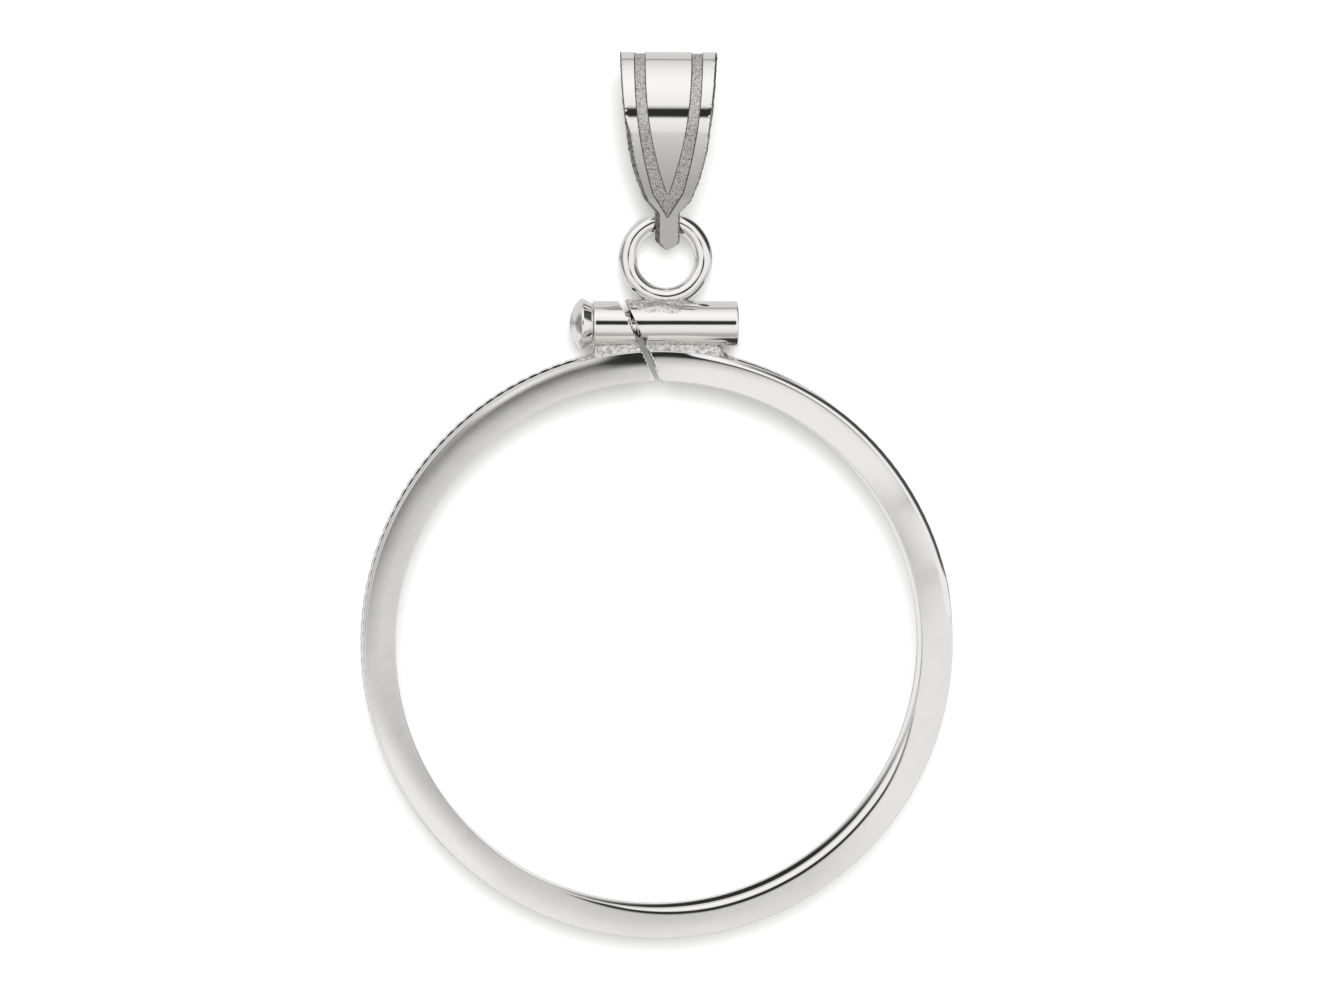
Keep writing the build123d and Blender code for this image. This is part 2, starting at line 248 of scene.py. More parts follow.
class StageSizes(bpy.types.PropertyGroup):
    """Camera, floor and light."""

    lens: FloatProperty(name="Lens", description="Focal length of the camera", default=250.0,
                        unit="CAMERA")
    view_width: length("View width", "What the frame takes in across, at the rim's depth", 65.3)
    tilt: FloatProperty(name="Tilt", description="Camera's lean away from straight above",
                        default=radians(4.5), subtype="ANGLE")
    heading: FloatProperty(name="Heading", description="Side that the camera leans to, from +X",
                           default=radians(140), subtype="ANGLE")
    aim_x: length("Aim across", "What lies in the middle of the frame, to the right of the rim", 0.42)
    aim_y: length("Aim up", "What lies in the middle of the frame, towards the bail", 7.04)
    floor_width: length("Floor width", "Width of the floor", 8000.0)
    soft_box: FloatProperty(name="Soft box", description="Strength of the soft box over the floor",
                            default=2.4, min=0.0)
    softness: FloatProperty(name="Softness", description="Angle that the soft box takes up in the sky",
                            default=radians(36), subtype="ANGLE")
    soft_lean: FloatProperty(name="Soft box lean", description="Lean of the soft box towards the bail",
                             default=radians(16), subtype="ANGLE")


def in_mm(group):
    """The group's values, with its lengths in millimetres."""
    values = {}
    for name in group.__annotations__:
        value = getattr(group, name)
        is_length = group.bl_rna.properties[name].unit == "LENGTH"
        values[name] = value / MM if is_length else value
    return SimpleNamespace(**values)


# Mesh helpers

def outline(bm, points):
    """A flat face through the points, whose corners can then be rounded."""
    return bm.faces.new([bm.verts.new(point) for point in points])


def nearest(bm, point):
    """The vertex nearest to a point."""
    return min(bm.verts, key=lambda vert: (vert.co - Vector(point)).length)


def round_corner(bm, point, radius, segments):
    """Rounds the outline's corner at a point with an arc of that radius."""
    vert = nearest(bm, point)
    first, second = [(edge.other_vert(vert).co - vert.co).normalized() for edge in vert.link_edges]
    turn = pi - first.angle(second)
    bmesh.ops.bevel(bm, geom=[vert], offset=radius * tan(turn / 2), offset_type="OFFSET",
                    segments=segments, profile=0.5, affect="VERTICES", material=-1)


def smooth_step(low, high, value):
    """0 below low, 1 above high, and a smooth rise between them."""
    t = min(max((value - low) / (high - low), 0), 1)
    return t * t * (3 - 2 * t)


def keep_edges_only(bm):
    """Takes the outline's face away and leaves its edges."""
    bmesh.ops.delete(bm, geom=bm.faces[:], context="FACES_ONLY")


def turn_round(bm, centre, axis, steps):
    """Spins the outline a full turn into a closed surface."""
    bmesh.ops.spin(bm, geom=bm.verts[:] + bm.edges[:], cent=centre, axis=axis, angle=2 * pi,
                   steps=steps, use_merge=True)
    bmesh.ops.remove_doubles(bm, verts=bm.verts[:], dist=TINY)
    bmesh.ops.recalc_face_normals(bm, faces=bm.faces[:])


def in_line(start, end, count):
    """Points between start and end, a like distance apart."""
    return [start + (end - start) * i / count for i in range(1, count)]


def azimuth_of(place):
    """Azimuth of a place round the rim's axis, from 0 to 360 degrees."""
    return atan2(place.y, place.x) % (2 * pi) * 180 / pi


def ripple(vert, size, shift=0.0):
    """Smooth noise from -1 to 1 at a vertex, with features of about that size."""
    return noise.noise(vert.co / size + Vector((shift, 2 * shift, 3 * shift)))


def roughen(bm, verts, height, size, shift=0.0):
    """Moves the vertices in and out along their normals by smooth noise."""
    bm.normal_update()
    moves = [(vert, vert.normal * height * ripple(vert, size, shift)) for vert in verts]
    for vert, move in moves:
        vert.co += move


def break_edges(bm, edges, width, segments=2):
    """Rounds edges a little, as deburring does."""
    bmesh.ops.bevel(bm, geom=edges, offset=width, offset_type="OFFSET", segments=segments,
                    profile=0.5, affect="EDGES", material=-1, clamp_overlap=True)


SLIT_REACH = 3.0  # millimetres either side of the slit in which faces are cut


def slit_side(slit, point):
    """Signed distance of a point from the slit's middle plane, in millimetres."""
    return (point.x - slit.foot_x) * cos(slit.angle) + (point.y - WINDOW_RADIUS) * sin(slit.angle)


def cut_along(bm, faces, place, normal):
    """Cuts faces in two along a plane."""
    verts = {vert for face in faces for vert in face.verts}
    edges = {edge for face in faces for edge in face.edges}
    bmesh.ops.bisect_plane(bm, geom=faces + list(edges) + list(verts), dist=TINY,
                           plane_co=place, plane_no=normal)


def faces_near_slit(bm, slit, reach):
    """The faces on the bail's side of the pendant that lie within reach of the slit's middle."""
    middles = [(face, face.calc_center_median()) for face in bm.faces]
    return [face for face, middle in middles if middle.y > 0 and abs(slit_side(slit, middle)) < reach]


def cut_slit(bm, slit):
    """Takes out what lies in the slit. Returns the open edges left and right of it."""
    across = Vector((cos(slit.angle), sin(slit.angle), 0))
    foot = Vector((slit.foot_x, WINDOW_RADIUS, 0))
    for side in (-1, 1):
        near = faces_near_slit(bm, slit, SLIT_REACH)
        cut_along(bm, near, foot + across * side * slit.width / 2, across)
    bmesh.ops.delete(bm, geom=faces_near_slit(bm, slit, slit.width / 2), context="FACES")
    rims = [edge for edge in bm.edges if edge.is_boundary]
    return [[edge for edge in rims if side * slit_side(slit, edge.verts[0].co) > 0] for side in (-1, 1)]


def close_cut(bm, edges, slit, finish):
    """Closes one side of the slit with a flat face, breaks its edges and gives it a finish."""
    made = bmesh.ops.contextual_create(bm, geom=edges)["faces"]
    for face in made:
        face.material_index = finish
    if slit.break_edge:
        break_edges(bm, [edge for face in made for edge in face.edges], slit.break_edge)


def piece(name, bm, body, finishes, sharp=32):
    """Finishes a mesh as a piece that rides on a body: smooth, with its sharp edges marked."""
    bmesh.ops.scale(bm, vec=(MM, MM, MM), verts=bm.verts[:])
    for face in bm.faces:
        face.smooth = True
    for edge in bm.edges:
        edge.smooth = edge.calc_face_angle(0) < radians(sharp)
    mesh = bpy.data.meshes.new(name)
    bm.to_mesh(mesh)
    bm.free()
    for finish in finishes:
        mesh.materials.append(finish)
    made = bpy.data.objects.new(name, mesh)
    bpy.context.scene.collection.objects.link(made)
    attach(made, body)
    return made


# Materials

def add(tree, kind, inputs=None, **settings):
    """Adds a node with its settings. Inputs are values, or the outputs that they are linked to."""
    made = tree.nodes.new(kind)
    for name, value in settings.items():
        setattr(made, name, value)
    for socket, value in (inputs or {}).items():
        if isinstance(value, bpy.types.NodeSocket):
            tree.links.new(value, made.inputs[socket])
        else:
            made.inputs[socket].default_value = value
    return made


def material(name):
    """A new empty material with its output node, or None if it is there already."""
    if name in bpy.data.materials:
        return None
    made = bpy.data.materials.new(name)
    made.use_nodes = True
    made.node_tree.nodes.clear()
    return made


def per_mm(size):
    """Scale of a texture on metres whose features are that many millimetres."""
    return 1 / (size * MM)


def polished_gold():
    """White gold, tumbled, buffed by hand and rhodium plated: a mirror with slow waves."""
    name = "Polished rhodium-plated white gold"
    made = material(name)
    if made is None:
        return bpy.data.materials[name]
    tree = made.node_tree
    place = add(tree, "ShaderNodeTexCoord").outputs["Object"]
    # The buff leaves waves about 1 mm long, and hairlines too fine to tell apart
    waves = add(tree, "ShaderNodeTexNoise", {"Vector": place, "Scale": per_mm(1.1), "Detail": 2.0})
    hairlines = add(tree, "ShaderNodeTexNoise", {"Vector": place, "Scale": per_mm(0.12), "Detail": 3.0})
    slow = add(tree, "ShaderNodeBump", {"Height": waves.outputs["Fac"], "Strength": 1.0,
                                        "Distance": 1.2e-6})
    fine = add(tree, "ShaderNodeBump", {"Height": hairlines.outputs["Fac"], "Strength": 1.0,
                                        "Distance": 1.0e-7, "Normal": slow.outputs["Normal"]})
    haze = add(tree, "ShaderNodeMapRange", {"Value": hairlines.outputs["Fac"], "From Min": 0.3,
                                            "From Max": 0.75, "To Min": 0.035, "To Max": 0.085})
    plated = bpy.context.scene.bezel_colours.plated
    shader = add(tree, "ShaderNodeBsdfPrincipled", {
        "Base Color": (*plated, 1), "Metallic": 1.0, "Roughness": haze.outputs["Result"],
        "Normal": fine.outputs["Normal"]})
    add(tree, "ShaderNodeOutputMaterial", {"Surface": shader.outputs["BSDF"]})
    return made


def grainy_gold(name, base, dark, grain, height, smooth, rough):
    """White gold with a grain: its roughness follows crumbs of that size and height, and painted shade
    darkens the low crumbs towards dark times the base colour.
    """
    made = material(name)
    if made is None:
        return bpy.data.materials[name]
    tree = made.node_tree
    place = add(tree, "ShaderNodeTexCoord").outputs["Object"]
    crumbs = add(tree, "ShaderNodeTexNoise", {"Vector": place, "Scale": per_mm(grain), "Detail": 3.0,
                                              "Roughness": 0.6})
    bump = add(tree, "ShaderNodeBump", {"Height": crumbs.outputs["Fac"], "Strength": 1.0,
                                        "Distance": height * MM})
    gloss = add(tree, "ShaderNodeMapRange", {"Value": crumbs.outputs["Fac"], "From Min": 0.3,
                                             "From Max": 0.7, "To Min": rough, "To Max": smooth})
    # Painted shade in the pits: where the noise sinks the crumbs in the bump, the colour is mixed towards
    # dark times the base
    shade = add(tree, "ShaderNodeMapRange", {"Value": crumbs.outputs["Fac"], "From Min": 0.32,
                                             "From Max": 0.55, "To Min": 1.0, "To Max": 0.0})
    painted_pit_shade = add(tree, "ShaderNodeMix", {"Factor": shade.outputs["Result"]}, data_type="RGBA")
    painted_pit_shade.inputs[6].default_value = (*base, 1)
    painted_pit_shade.inputs[7].default_value = (*[part * dark for part in base], 1)
    shader = add(tree, "ShaderNodeBsdfPrincipled", {
        "Base Color": painted_pit_shade.outputs[2], "Metallic": 1.0, "Roughness": gloss.outputs["Result"],
        "Normal": bump.outputs["Normal"]})
    add(tree, "ShaderNodeOutputMaterial", {"Surface": shader.outputs["BSDF"]})
    return made


def blasted_gold():
    """White gold blasted with grit of about 0.1 mm, which leaves a soft sparkle, with painted shade in
    the grain's pits.
    """
    base = bpy.context.scene.bezel_colours.blasted
    return grainy_gold("Grit-blasted white gold", base, dark=0.28, grain=0.080, height=0.045,
                       smooth=0.22, rough=0.42)


def frozen_solder():
    """White gold solder that froze in crumbs and was pickled, but not polished, with painted shade
    between its crumbs.
    """
    base = bpy.context.scene.bezel_colours.solder
    return grainy_gold("Pickled white gold solder", base, dark=0.55, grain=0.12, height=0.012,
                       smooth=0.18, rough=0.45)


def sawn_gold():
    """White gold as the saw and a coarse file left it, with painted shade in its pits."""
    base = bpy.context.scene.bezel_colours.sawn
    return grainy_gold("Sawn white gold", base, dark=0.15, grain=0.12, height=0.030,
                       smooth=0.20, rough=0.40)


def floor_card():
    """White card, pressed smooth and matt, so that shadows fall softly on it."""
    name = "White card"
    made = material(name)
    if made is None:
        return bpy.data.materials[name]
    shade = bpy.context.scene.bezel_colours.floor
    shader = add(made.node_tree, "ShaderNodeBsdfPrincipled",
                 {"Base Color": (*shade, 1), "Roughness": 0.9, "Specular IOR Level": 0.2})
    add(made.node_tree, "ShaderNodeOutputMaterial", {"Surface": shader.outputs["BSDF"]})
    return made


# Pieces

# How the hand-held buff left the rim's front face: azimuth, and how far the face leans outwards
# at each of the radii below, in degrees
BUFF_RADII = (13.0, 13.6, 14.05, 14.3)
BUFFING = (
    (0, 1.0, 1.1, 1.0, 1.0),
    (15, 0.2, 0.4, 0.6, 0.8),
    (30, -1.8, -2.0, -1.4, -0.8),
    (45, -3.3, -3.6, -2.6, -0.8),
    (60, -3.4, -3.6, -2.2, 0.5),
    (80, -2.6, -2.4, -0.8, 4.0),
    (91, -1.9, -1.7, -0.6, 4.0),
    (93, -1.4, -1.0, 2.8, 3.0),
    (105, -1.4, -0.6, 0.5, -1.6),
    (120, -1.4, -0.6, 0.4, -2.6),
    (135, -1.2, -0.8, 0.2, -0.3),
    (150, -1.3, -1.0, -0.2, 0.5),
    (180, -1.6, -1.8, -1.2, -0.8),
    (210, -2.0, 0.4, 2.4, 3.0),
    (225, -1.0, 0.3, 2.2, 3.5),
    (240, -0.6, -0.2, 0.4, 0.7),
    (270, -0.9, -0.6, -0.1, 0.0),
    (300, -0.6, -0.5, -0.3, -0.2),
    (330, 0.4, 0.45, 0.4, 0.4),
    (360, 1.0, 1.1, 1.0, 1.0),
)
# Azimuths in degrees between which a form of the rim grows, and then those between which it fades
WORN_ARC = (235, 285, 325, 355)
ROLLED_ARC = (4, 18, 70, 88)
SWOLLEN_ARC = (2, 14, 48, 72)
NOTCHED_ARC = (95, 115, 175, 215)
WORN_NOTCH = 0.15  # share of the notches' depth that is left where they are worn
FACE_STEPS = 27  # mesh steps across the front face
NOTCH_COLUMNS = 8  # mesh columns from one notch to the next
NOTCH_WIDTH = 3  # mesh columns in a notch


def arc_share(arc, turn):
    """0 outside an arc of azimuths, 1 inside it, and smooth where it grows and fades."""
    return smooth_step(arc[0], arc[1], turn) * (1 - smooth_step(arc[2], arc[3], turn))


def between(value, places):
    """How far a value is past the last of the places that it has passed, and that place's number."""
    number = max(i for i in range(len(places) - 1) if value >= places[i] or i == 0)
    return number, (value - places[number]) / (places[number + 1] - places[number])


def buffed_fall(rim, radius, turn):
    """How far the front face was buffed down at a radius and an azimuth."""
    number, share = between(turn, [row[0] for row in BUFFING])
    share = smooth_step(0, 1, share)
    leans = [radians(a + (b - a) * share) for a, b in zip(BUFFING[number][1:], BUFFING[number + 1][1:])]
    fall = rim.face_fall + leans[0] * (min(radius, BUFF_RADII[0]) - WINDOW_RADIUS)
    starts = list(zip(BUFF_RADII, leans))
    for (start, lean_1), (end, lean_2) in zip(starts, starts[1:]):
        step = min(max(radius - start, 0), end - start)
        fall += lean_1 * step + (lean_2 - lean_1) * step**2 / (2 * (end - start))
    fall += leans[-1] * max(radius - BUFF_RADII[-1], 0)
    worn = max(WINDOW_RADIUS + rim.buffed * arc_share(WORN_ARC, turn) - radius, 0)
    rolled = max(radius - rim.wall_radius + rim.rolled, 0)
    rolled_fall = rolled * tan(rim.rolled_start) + rolled**2 / (2 * rim.rolled_radius)
    return fall + worn**2 / (2 * rim.buff_radius) + rolled_fall * arc_share(ROLLED_ARC, turn)


def make_rim(context):
    """The channel rim with its notched flange, cut by the slit."""
    rim, slit = in_mm(context.scene.bezel_rim), in_mm(context.scene.bezel_slit)
    depth = 2 * MIDDLE
    bm = bmesh.new()
    lip_edge = (WINDOW_RADIUS, depth)
    shoulder = (rim.wall_radius, depth)
    section = [
        lip_edge,
        *[(radius, depth) for radius in in_line(WINDOW_RADIUS, rim.wall_radius, FACE_STEPS)],
        shoulder,
        (rim.wall_radius, rim.flange),
        (FLANGE_RADIUS, rim.flange),
        (FLANGE_RADIUS, 0),
        (WINDOW_RADIUS, 0),
        (WINDOW_RADIUS, rim.lip),
        (rim.seat_radius, rim.lip),
        (rim.seat_radius, depth - rim.lip),
        (WINDOW_RADIUS, depth - rim.lip),
    ]
    outline(bm, [(point[0], 0, point[1]) for point in section])
    rounds = (
        (shoulder, rim.shoulder, 8),
        (lip_edge, rim.lip_edge, 5),
        ((FLANGE_RADIUS, rim.flange), rim.flange_edge, 3),
        ((FLANGE_RADIUS, 0), rim.flange_edge, 3),
        ((WINDOW_RADIUS, 0), rim.break_edge, 2),
        ((WINDOW_RADIUS, rim.lip), rim.break_edge, 2),
        ((WINDOW_RADIUS, depth - rim.lip), rim.break_edge, 2),
    )
    for point, radius, segments in rounds:
        round_corner(bm, (point[0], 0, point[1]), radius, segments)
    keep_edges_only(bm)
    columns = rim.notches * NOTCH_COLUMNS
    turn_round(bm, (0, 0, 0), (0, 0, 1), columns)

    for vert in bm.verts:
        if vert.co.z > depth - rim.lip:
            share = smooth_step(depth - rim.lip, depth - rim.lip_edge, vert.co.z)
            vert.co.z -= share * buffed_fall(rim, vert.co.xy.length, azimuth_of(vert.co))

    # The rolled edge was pushed out over the flange
    for vert in bm.verts:
        if vert.co.z > rim.flange + CLOSE:
            radius = vert.co.xy.length
            swell = rim.swell * arc_share(SWOLLEN_ARC, azimuth_of(vert.co))
            swell *= smooth_step(rim.wall_radius - rim.lip, rim.wall_radius, radius)
            vert.co.xy *= 1 + swell / radius

    # Notches, pressed into the flange's edge
    for vert in bm.verts:
        radius, turn = vert.co.xy.length, azimuth_of(vert.co)
        in_notch = round(turn / 360 * columns) % NOTCH_COLUMNS < NOTCH_WIDTH
        if in_notch and radius > FLANGE_RADIUS - rim.flange_edge - CLOSE:
            unworn = WORN_NOTCH + (1 - WORN_NOTCH) * arc_share(NOTCHED_ARC, turn)
            vert.co.xy *= (radius - rim.notch_depth * unworn) / radius

    for edges in cut_slit(bm, slit):
        close_cut(bm, edges, slit, 1)
    made = piece("rim", bm, "bezel", [polished_gold(), sawn_gold()])
    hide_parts("split_bezel")


def make_barrels(context):
    """The two barrels: one turned tube, cut by the slit."""
    tube, slit = in_mm(context.scene.bezel_barrels), in_mm(context.scene.bezel_slit)
    outside, bore = tube.diameter / 2, tube.bore / 2
    bm = bmesh.new()
    corners = [(-tube.left, bore), (-tube.left, outside), (tube.right, outside), (tube.right, bore)]
    outline(bm, [(x, TUBE_Y + radius, MIDDLE) for x, radius in corners])
    for x, radius in corners:
        edge = tube.end_edge / (2 if radius == bore else 1)
        round_corner(bm, (x, TUBE_Y + radius, MIDDLE), edge, 3)
    keep_edges_only(bm)
    long_edges = [edge for edge in bm.edges if edge.calc_length() > outside]
    bmesh.ops.subdivide_edges(bm, edges=long_edges, cuts=70)
    turn_round(bm, TUBE_AXIS, (1, 0, 0), 112)
    roughen(bm, bm.verts, tube.wave, tube.wave_size)
    for edges in cut_slit(bm, slit):
        walls = bmesh.ops.bridge_loops(bm, edges=edges)["faces"]
        for face in walls:
            face.material_index = 1
        cut = {edge for face in walls for edge in face.edges
               if len({side.material_index for side in edge.link_faces}) > 1}
        break_edges(bm, list(cut), slit.break_edge)
    bmesh.ops.recalc_face_normals(bm, faces=bm.faces[:])
    made = piece("barrels", bm, "bezel", [polished_gold(), sawn_gold()])
    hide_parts("split_bezel")


def solder_rod(bm, stations, around):
    """A closed rod of unit size along X, to be moved into the shape of a run of solder."""
    bmesh.ops.create_cone(bm, cap_ends=True, segments=around, radius1=1, radius2=1, depth=2,
                          matrix=Matrix.Rotation(pi / 2, 4, "Y"))
    lengthwise = [edge for edge in bm.edges if abs(edge.verts[0].co.x - edge.verts[1].co.x) > 1]
    bmesh.ops.subdivide_edges(bm, edges=lengthwise, cuts=stations)


# Where the solder rises to the tube, from its left end and from its right end, in toe lengths
LEFT_RISE = (0.9, 1.15)
RIGHT_RISE = (0.6, 1.5)
RIGHT_TOE = 1 / 8  # share of the left toe's length that the right toe runs past the tube
TOE_CURVE = 0.8  # power of the toe's rise from its point
TOE_NARROWS = 0.35  # share of its waist that the toe loses
RIM_SUNK = 1 / 3  # share of the rim's wall that the solder is sunk in it
TUBE_SUNK = 2 / 3  # share of the tube's wall that the solder is sunk in it


def make_saddle(context):
    """The solder between the tube and the rim, which runs out in a toe past each end."""
    tube, rim = in_mm(context.scene.bezel_barrels), in_mm(context.scene.bezel_rim)
    slit = in_mm(context.scene.bezel_slit)
    low_x, high_x = -tube.left - tube.saddle_toe, tube.right + tube.saddle_toe * RIGHT_TOE
    tube_inside = TUBE_Y - tube.diameter / 2 + (tube.diameter - tube.bore) / 2 * TUBE_SUNK
    bm = bmesh.new()
    solder_rod(bm, stations=150, around=48)
    for vert in bm.verts:
        x = low_x + (high_x - low_x) * (vert.co.x + 1) / 2
        rim_top = sqrt(rim.wall_radius**2 - x**2)
        end = min(x - low_x, high_x - x) / tube.saddle_toe
        under_tube = smooth_step(*(LEFT_RISE if x < 0 else RIGHT_RISE), end)
        top = rim_top + tube.saddle_rise * max(min(end, 1), 0) ** TOE_CURVE
        top += (tube_inside - top) * under_tube
        foot = rim_top - (rim.wall_radius - rim.seat_radius) * RIM_SUNK
        share = (vert.co.y + 1) / 2
        waist = tube.saddle_waist * (1 - TOE_NARROWS * (1 - under_tube))
        width = tube.saddle_width + (waist - tube.saddle_width) * sqrt(share)
        squared = max(abs(vert.co.y), abs(vert.co.z))  # makes the round rod a square one
        vert.co = (x, foot + (top - foot) * share, MIDDLE + vert.co.z / squared * width / 2)
    roughen(bm, bm.verts, tube.grain, 2.2 * tube.grain_size, shift=5)
    roughen(bm, bm.verts, 0.7 * tube.grain, tube.grain_size, shift=9)
    for edges in cut_slit(bm, slit):
        bmesh.ops.contextual_create(bm, geom=edges)
    bmesh.ops.recalc_face_normals(bm, faces=bm.faces[:])
    made = piece("saddle_solder", bm, "bezel", [frozen_solder()], sharp=60)
    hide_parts("split_bezel")


PATCH_RAGGED = 0.16  # how ragged the ring solder's outline is, as a share of its half size
PATCH_EDGE = (-0.05, 0.5)  # shares of its half size over which it rises from its outline
PATCH_SUNK = 0.25  # share of its height that it is sunk in the tube
FILLET_SPREAD = 0.5  # share of its reach that the heap against the ring takes up


def make_ring_solder(context):
    """The crust of solder round the jump ring's foot, which wraps the top of the tube."""
    tube, slit = in_mm(context.scene.bezel_barrels), in_mm(context.scene.bezel_slit)
    bm = bmesh.new()
    bmesh.ops.create_grid(bm, x_segments=64, y_segments=44, size=1)
    middle_x = (tube.right - tube.left) / 2 - tube.patch_shift
    for vert in bm.verts:
        u, v = vert.co.x, vert.co.y
        x = middle_x + u * tube.patch_length / 2
        edge = 1 - hypot(u, v) - PATCH_RAGGED * noise.noise(Vector((3 * u, 3 * v, 1)))
        height = tube.patch_height * (smooth_step(*PATCH_EDGE, edge) - PATCH_SUNK)
        heap = max(0, 1 - ((x - WIRE_CENTRE.x) / tube.fillet_length) ** 2)
        heap *= max(0, 1 - (v / FILLET_SPREAD) ** 2)
        radius = tube.diameter / 2 + height + tube.fillet * heap
        turn = v * tube.patch_reach
        vert.co = (x, TUBE_Y + radius * cos(turn), MIDDLE + radius * sin(turn))
    bmesh.ops.recalc_face_normals(bm, faces=bm.faces[:])
    if sum(face.normal.y for face in bm.faces) < 0:
        bmesh.ops.reverse_faces(bm, faces=bm.faces[:])
    roughen(bm, bm.verts, 0.6 * tube.grain, tube.grain_size, shift=3)
    bmesh.ops.solidify(bm, geom=bm.faces[:], thickness=tube.patch_crust)
    for edges in cut_slit(bm, slit):
        if edges:
            bmesh.ops.contextual_create(bm, geom=edges)
    bmesh.ops.recalc_face_normals(bm, faces=bm.faces[:])
    made = piece("ring_solder", bm, "bezel", [frozen_solder()], sharp=60)
    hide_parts("split_bezel")


def make_jump_ring(context):
    """The round wire ring that stands on the tube."""
    ring = in_mm(context.scene.bezel_ring)
    wire = ring.wire / 2
    centre = Vector((WIRE_CENTRE.x, RING_TOP - ring.outside / 2, MIDDLE))
    bm = bmesh.new()
    section = Matrix.Translation(centre + Vector((ring.outside / 2 - wire, 0, 0)))
    section = section @ Matrix.Rotation(pi / 2, 4, "X")
    bmesh.ops.create_circle(bm, segments=40, radius=wire, matrix=section)
    turn_round(bm, centre, (0, 0, 1), 200)
    roughen(bm, bm.verts, ring.wave, ring.wave_size, shift=7)
    made = piece("jump_ring", bm, "bezel", [polished_gold()])
    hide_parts("split_bezel")


SLOT_REACH = 0.3  # millimetres past the slot's floor in which faces are cut
DOME_STEPS = 20  # mesh steps from the top of the head's dome to its edge
TURN_STEPS = 36  # mesh steps in a turn of the thread


def lies_in_plane(edge, axis, value):
    """If an edge lies in the plane where that coordinate has that value."""
    return all(abs(vert.co[axis] - value) < NEAR for vert in edge.verts)


def cut_slot(bm, floor_x, width, rounding):
    """Cuts the screwdriver slot along Y into the head, down to floor_x."""
    planes = (
        ((0, 0, MIDDLE - width / 2), (0, 0, 1)),
        ((0, 0, MIDDLE + width / 2), (0, 0, 1)),
        ((floor_x, 0, 0), (1, 0, 0)),
    )
    for place, normal in planes:
        dome = [face for face in bm.faces if face.calc_center_median().x < floor_x + SLOT_REACH]
        cut_along(bm, dome, place, normal)
    middles = [(face, face.calc_center_median()) for face in bm.faces]
    inside = [face for face, middle in middles
              if middle.x < floor_x and abs(middle.z - MIDDLE) < width / 2]
    bmesh.ops.delete(bm, geom=inside, context="FACES")
    rims = [edge for edge in bm.edges if edge.is_boundary]
    walls, floor_edges = [], []
    for side in (-1, 1):
        arc = [edge for edge in rims if lies_in_plane(edge, 2, MIDDLE + side * width / 2)]
        low = [vert for edge in arc for vert in edge.verts if abs(vert.co.x - floor_x) < NEAR]
        low.sort(key=lambda vert: vert.co.y)
        floor_edge = bm.edges.new([low[0], low[-1]])
        walls += bmesh.ops.contextual_create(bm, geom=arc + [floor_edge])["faces"]
        floor_edges.append(floor_edge)
    ends = [edge for edge in rims if lies_in_plane(edge, 0, floor_x)]
    made = walls + bmesh.ops.contextual_create(bm, geom=ends + floor_edges)["faces"]
    break_edges(bm, list({edge for face in made for edge in face.edges} - set(floor_edges)), rounding)


def make_screw(context):
    """The screw: a domed slotted head, a shank and a real thread."""
    screw = in_mm(context.scene.bezel_screw)
    head, neck = screw.head / 2, screw.neck / 2
    root = screw.thread / 2 - screw.thread_height
    dome_start = SCREW_LOW.x
    band_start = dome_start + screw.dome
    cone_start = band_start + screw.band
    cone_end = cone_start + screw.cone
    tip = SCREW_HIGH.x
    dome_radius = (head**2 + screw.dome**2) / (2 * screw.dome)
    half_angle = asin(head / dome_radius)
    angles = [half_angle * i / DOME_STEPS for i in range(DOME_STEPS + 1)]
    dome = [(dome_start + dome_radius * (1 - cos(angle)), dome_radius * sin(angle)) for angle in angles]
    section = [*dome, (cone_start, head), (cone_end, neck), (cone_end, root),
               (tip - screw.tip, root), (tip, root - screw.tip), (tip, 0)]
    rounds = (
        ((band_start, head), screw.head_edge),
        ((cone_start, head), screw.head_edge),
        ((cone_end, neck), screw.neck_edge),
    )
    bm = bmesh.new()
    outline(bm, [(x, TUBE_Y + radius, MIDDLE) for x, radius in section])
    for (x, radius), edge in rounds:
        round_corner(bm, (x, TUBE_Y + radius, MIDDLE), edge, 3)
    keep_edges_only(bm)
    axis_edges = [edge for edge in bm.edges if lies_in_plane(edge, 1, TUBE_Y)]
    bmesh.ops.delete(bm, geom=axis_edges, context="EDGES")
    turn_round(bm, TUBE_AXIS, (1, 0, 0), 96)
    cut_slot(bm, dome_start + screw.slot_depth, screw.slot_width, screw.slot_edge)

    # The thread's ridge, its root sunk a little in the shank
    height = screw.thread_height
    first_x = cone_end + screw.pitch
    turns = (tip - screw.tip - first_x - screw.pitch) / screw.pitch
    foot = root - screw.thread_sunk
    rod = bmesh.new()
    outline(rod, [(first_x + x, TUBE_Y + radius, MIDDLE)
                  for x, radius in ((-height, foot), (0, root + height), (height, foot))])
    round_corner(rod, (first_x, TUBE_Y + root + height, MIDDLE), screw.thread_edge, 1)
    ends = rod.faces[:]
    bmesh.ops.spin(rod, geom=rod.verts[:] + rod.edges[:] + ends, cent=TUBE_AXIS, axis=(1, 0, 0),
                   dvec=(screw.pitch / TURN_STEPS, 0, 0), angle=2 * pi * turns,
                   steps=round(turns * TURN_STEPS))
    bmesh.ops.recalc_face_normals(rod, faces=rod.faces[:])
    for face in rod.faces:
        face.material_index = 1
    ridge_mesh = bpy.data.meshes.new("thread")
    rod.to_mesh(ridge_mesh)
    rod.free()
    bm.from_mesh(ridge_mesh)
    bpy.data.meshes.remove(ridge_mesh)
    made = piece("screw", bm, "screw", [polished_gold(), polished_gold()])
    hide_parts("clamp_screw")


